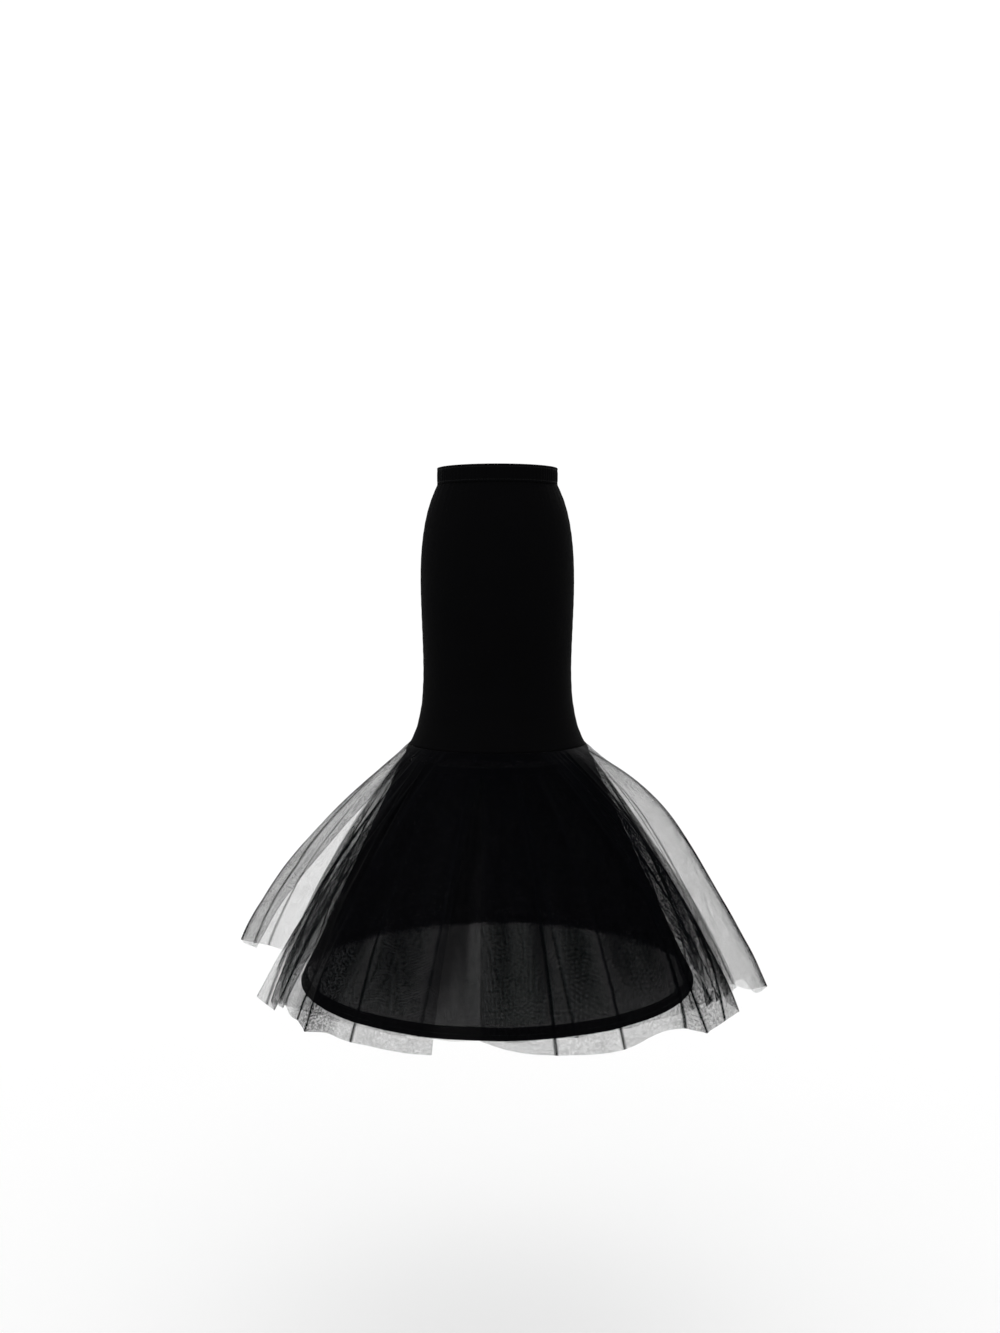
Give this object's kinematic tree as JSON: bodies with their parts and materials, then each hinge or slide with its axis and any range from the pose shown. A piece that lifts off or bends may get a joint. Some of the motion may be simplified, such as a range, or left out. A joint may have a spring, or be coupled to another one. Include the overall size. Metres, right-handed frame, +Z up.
{
  "type": "mermaid hoop petticoat",
  "caption": "Fishtail hoop petticoat: knitted waist-to-knee tube, hooped flare at the hem, loose tulle flounces.",
  "frame": {"origin": "centre of the waist opening, level with the top edge of the waistband", "axes": "+Z up the wearer, -Y to the front, +X to the right of someone who looks at the front"},
  "size_m": [1.0016, 0.8579, 1],
  "materials": {
    "body_knit": "matt stretch knit",
    "lining": "thin plain lining",
    "casing": "folded and stitched lining",
    "elastic": "woven elastic",
    "tape": "twill tape",
    "tulle": "open net",
    "hoop": "flat spring steel"
  },
  "bodies": {
    "root": {"waist_casing": "body_knit", "waist_elastic": "elastic", "body_front_panel": "body_knit", "body_back_panel": "body_knit", "flare_gore_front": "lining", "flare_gore_front_right": "lining", "flare_gore_back_right": "lining", "flare_gore_back": "lining", "flare_gore_back_left": "lining", "flare_gore_front_left": "lining", "hoop_casing": "casing", "hoop_steel": "hoop", "hoop_ferrule": "hoop", "heading_tape_top": "tape", "heading_tape_under": "tape", "tulle_top_front": "tulle", "tulle_top_right": "tulle", "tulle_top_back": "tulle", "tulle_top_left": "tulle", "tulle_under_front": "tulle", "tulle_under_right": "tulle", "tulle_under_back": "tulle", "tulle_under_left": "tulle"}
  },
  "joints": []
}
